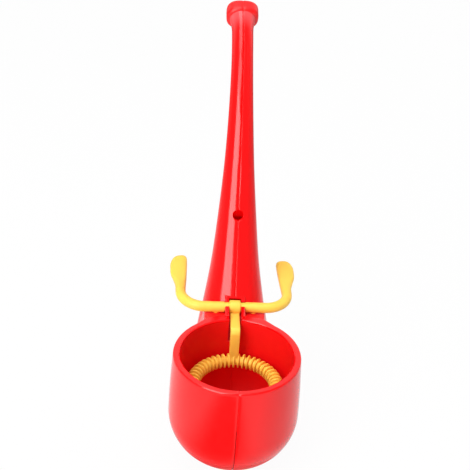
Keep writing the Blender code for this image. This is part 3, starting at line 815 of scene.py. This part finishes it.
def plasticFinish(name, look):
    # drift and rubs in the colour, uneven gloss, a fine skin and softened edges
    mat = bpy.data.materials.new(name)
    mat.use_nodes = True
    tree = mat.node_tree
    shader = tree.nodes["Principled BSDF"].inputs
    scales = {"Drift Scale": look["drift"], "Skin Scale": look["skin"],
              "Rough Low": look["rough"][0], "Rough High": look["rough"][1]}
    skin = addNode(tree, "ShaderNodeGroup", node_tree=skinGroup, **scales).outputs
    scuff = addNode(tree, "ShaderNodeGroup", node_tree=scuffGroup, Amount=look["scuff"]).outputs["Mask"]
    tone = mixColours(tree, skin["Drift"], look["deep"], look["light"])
    edge = addNode(tree, "ShaderNodeBevel", samples=6, Radius=look["edge"]).outputs["Normal"]
    bump = addNode(tree, "ShaderNodeBump", Strength=look["bump"], Distance=look["bumpDepth"],
                   Height=skin["Height"], Normal=edge).outputs["Normal"]
    feed(tree, shader["Base Color"], mixColours(tree, scuff, tone, look["rub"]))
    feed(tree, shader["Roughness"], skin["Roughness"])
    feed(tree, shader["Normal"], bump)
    feed(tree, shader["Specular IOR Level"], look["specular"])
    return mat


def pipeTouches(mat, look):
    # painted light and shade: a red glow in the air way by the hole, standing in for light that comes through
    # the thin wall, a painted pale sheen on the flare of the mouthpiece, and painted shade in the parting
    # line of the lower bowl
    tree = mat.node_tree
    shader = tree.nodes["Principled BSDF"].inputs

    def maskOf(group, **settings):
        return addNode(tree, "ShaderNodeGroup", node_tree=group, **settings).outputs

    # painted light: a red glow round the spot behind the air hole, for light through the thin wall
    near = maskOf(nearGroup, Spot=holeSpot()[0], Radius=look["paintedGlowReach"])["Mask"]
    feed(tree, shader["Emission Color"], mixColours(tree, near, (0, 0, 0, 1), look["deep"]))
    feed(tree, shader["Emission Strength"], look["glow"])
    slope = lineSlope[-1]
    flare = maskOf(beforeGroup, Spot=(0, lineY[-1], lineZ[-1]), Axis=(0, math.cos(slope), math.sin(slope)),
                   Length=look["flareSheenLength"])
    line = maskOf(boxGroup, Middle=look["seamMiddle"], Half=look["seamHalf"])["Mask"]
    # painted sheen: a paler colour on the flare before the lip
    flareSheen = mathStep(tree, "MULTIPLY", flare["Before"], look["flareSheen"])
    # painted shade: a darker colour in the parting line of the lower bowl
    seamShadeShare = mathStep(tree, "MULTIPLY", line, look["seamShade"])
    colour = shader["Base Color"].links[0].from_socket
    colour = mixColours(tree, flareSheen, colour, look["flareSheenColour"])
    feed(tree, shader["Base Color"], mixColours(tree, seamShadeShare, colour, look["seamShadeColour"]))
    # rougher inside the bowl, on top of the web and on the lip
    hollow = maskOf(hollowGroup)["Mask"]
    web = maskOf(boxGroup, Middle=look["webMiddle"], Half=look["webHalf"])["Mask"]
    rough = shader["Roughness"].links[0].from_socket
    for mask, amount in ((hollow, look["satin"]), (web, look["satin"]), (flare["Past"], look["lipSatin"])):
        rough = mathStep(tree, "MULTIPLY_ADD", mask, amount, rough)
    feed(tree, shader["Roughness"], rough)


redFinish = plasticFinish("redPlastic", redPlastic)
pipeTouches(redFinish, redPlastic)
yellowFinish = plasticFinish("yellowPlastic", yellowPlastic)

for piece, node, body, slotName, finish in ((leftShell, "left_shell", "pipe", "red_plastic", redFinish),
                                            (rightShell, "right_shell", "pipe", "red_plastic", redFinish),
                                            (leverPiece, "lever", "lever", "yellow_plastic", yellowFinish)):
    piece.data.materials.clear()
    piece.data.materials.append(finish)
    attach(piece, body)
    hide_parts(node)
leverPiece.visible_glossy = False      # the red shows no yellow in its gloss
print("finishes done")


# floor, light and camera

studio = dict(
    floorSize=6.0, floorLevel=-0.0004, floorColour=(0.74, 0.74, 0.74, 1), floorRough=0.9, shadowShare=0.05,
    # a painted shadow of the pipe on the floor, seen only in gloss: an oval under and in front of the bowl
    shadowOvalPlace=(-0.02, -0.075, 0.0), shadowOvalSize=(0.060, 0.110, 1.0), shadowOvalRange=(0.25, 0.95), shadowOvalLevel=(0.02, 0.85),
    farRange=(0.12, 0.40), farLevel=(1.0, 0.3),
    roomRange=(0.1, 0.75), roomLevel=(0.2, 0.9),
    worldFill=0.25,
    aim=(0, 0.04, 0.07),      # the middle of the pipe, which the panels face
)
panels = dict(      # azimuth, elevation, distance, size, power, and whether it shows in gloss
    softboxLeft=(-37, 22, 1.0, (0.67, 0.90), 9.9, True),
    softboxRight=(112, 25, 1.0, (1.2, 1.2), 5.0, False),
    softboxUpper=(-46, 56, 1.0, (0.45, 0.42), 1.7, True),
    softboxTop=(-112, 77, 1.2, (0.75, 0.75), 4.6, True),
    softboxAbove=(0, 82, 1.2, (1.0, 1.0), 5.4, False),
)


def raysSeen(tree, gloss):
    # whether a ray shows the background, and how bright it is there: full to the camera, less in gloss
    path = addNode(tree, "ShaderNodeLightPath").outputs
    straight = mathStep(tree, "MAXIMUM", path["Is Camera Ray"], path["Is Transmission Ray"])
    seen = mathStep(tree, "MAXIMUM", straight, path["Is Glossy Ray"])
    return seen, levelBetween(tree, path["Is Glossy Ray"], (0, 1), (1, gloss), "LINEAR")


def floorGloss(tree):
    # gloss sees the floor dimmer in an oval under and in front of the bowl, a shadow of the pipe painted into
    # the floor, and dimmer far away
    spot = objectPlace(tree)
    oval = addNode(tree, "ShaderNodeMapping", vector_type="TEXTURE", Vector=spot, Location=studio["shadowOvalPlace"],
                   Scale=studio["shadowOvalSize"]).outputs["Vector"]
    far = mathStep(tree, "LENGTH", oval, vector=True)
    away = mathStep(tree, "LENGTH", spot, vector=True)
    return mathStep(tree, "MULTIPLY", levelBetween(tree, far, studio["shadowOvalRange"], studio["shadowOvalLevel"]),
                    levelBetween(tree, away, studio["farRange"], studio["farLevel"]))


def roomGloss(tree):
    # gloss sees a pale wall behind and a dimmer room in front
    way = addNode(tree, "ShaderNodeTexCoord").outputs["Generated"]
    way = addNode(tree, "ShaderNodeSeparateXYZ", Vector=way).outputs["Y"]
    return levelBetween(tree, way, studio["roomRange"], studio["roomLevel"])


def mixShaders(tree, share, first, second):
    mix = addNode(tree, "ShaderNodeMixShader")
    for socket, value in zip(mix.inputs, (share, first.outputs[0], second.outputs[0])):
        feed(tree, socket, value)
    return mix.outputs[0]


def floorFinish():
    # white to the camera, with a share of the real shaded floor left in
    mat = bpy.data.materials.new("paleFloor")
    mat.use_nodes = True
    tree = mat.node_tree
    shader = tree.nodes["Principled BSDF"]
    shader.inputs["Base Color"].default_value = studio["floorColour"]
    shader.inputs["Roughness"].default_value = studio["floorRough"]
    shader.inputs["Specular IOR Level"].default_value = 0.0
    seen, level = raysSeen(tree, floorGloss(tree))
    glow = addNode(tree, "ShaderNodeEmission", Color=(1, 1, 1, 1), Strength=level)
    part = mathStep(tree, "MULTIPLY", seen, 1 - studio["shadowShare"])
    feed(tree, tree.nodes["Material Output"].inputs["Surface"], mixShaders(tree, part, shader, glow))
    return mat


half, low = studio["floorSize"] / 2, studio["floorLevel"]
corners = [(-half, -half, low), (half, -half, low), (half, half, low), (-half, half, low)]
floorMesh = bpy.data.meshes.new("floor")
floorMesh.from_pydata(corners, [], [(0, 1, 2, 3)])
floor = bpy.data.objects.new("floor", floorMesh)
scene.collection.objects.link(floor)
floorMesh.materials.append(floorFinish())

world = bpy.data.worlds.new("studioWorld")
scene.world = world
world.use_nodes = True
tree = world.node_tree
tree.nodes.clear()
seen, level = raysSeen(tree, roomGloss(tree))
white = addNode(tree, "ShaderNodeBackground", Color=(1, 1, 1, 1), Strength=level)
fill = addNode(tree, "ShaderNodeBackground", Color=(1, 1, 1, 1), Strength=studio["worldFill"])
out = addNode(tree, "ShaderNodeOutputWorld")
feed(tree, out.inputs["Surface"], mixShaders(tree, seen, fill, white))


def softbox(name, azimuth, elevation, distance, size, power, mirrored):
    # a panel that faces the middle of the pipe; azimuth 0 stands in front
    a, e = math.radians(azimuth), math.radians(elevation)
    back = Vector((math.sin(a) * math.cos(e), -math.cos(a) * math.cos(e), math.sin(e)))
    facing = back.to_track_quat("Z", "Y").to_matrix().to_4x4()
    light = bpy.data.lights.new(name, "AREA")
    light.shape = "RECTANGLE"
    light.size, light.size_y = size
    light.energy = power
    obj = bpy.data.objects.new(name, light)
    obj.matrix_world = Matrix.Translation(Vector(studio["aim"]) + back * distance) @ facing
    obj.visible_glossy = mirrored
    scene.collection.objects.link(obj)


for name, panel in panels.items():
    softbox(name, *panel)

# the camera as solved from the photograph: turn, pitch, roll and place
view = dict(turn=-3.8, pitch=32.582, roll=3.872, place=(-0.0361, -0.4773, 0.4215),
            focal=1404.6, frame=470,      # in pixels
            sensor=36, nearest=0.01)      # in millimetres and metres
a, e, r = (math.radians(view[key]) for key in ("turn", "pitch", "roll"))
right = Vector((math.cos(a), math.sin(a), 0))
ahead = Vector((-math.sin(a) * math.cos(e), math.cos(a) * math.cos(e), -math.sin(e)))
up = right.cross(ahead)
camRight = math.cos(r) * right + math.sin(r) * up
camUp = -math.sin(r) * right + math.cos(r) * up
cameraData = bpy.data.cameras.new("camera")
cameraData.sensor_width = view["sensor"]
cameraData.lens = view["sensor"] * view["focal"] / view["frame"]
cameraData.clip_start = view["nearest"]
camera = bpy.data.objects.new("camera", cameraData)
turned = Matrix((camRight, camUp, -ahead)).transposed().to_4x4()
camera.matrix_world = Matrix.Translation(view["place"]) @ turned
scene.collection.objects.link(camera)
scene.camera = camera
print("stage done")
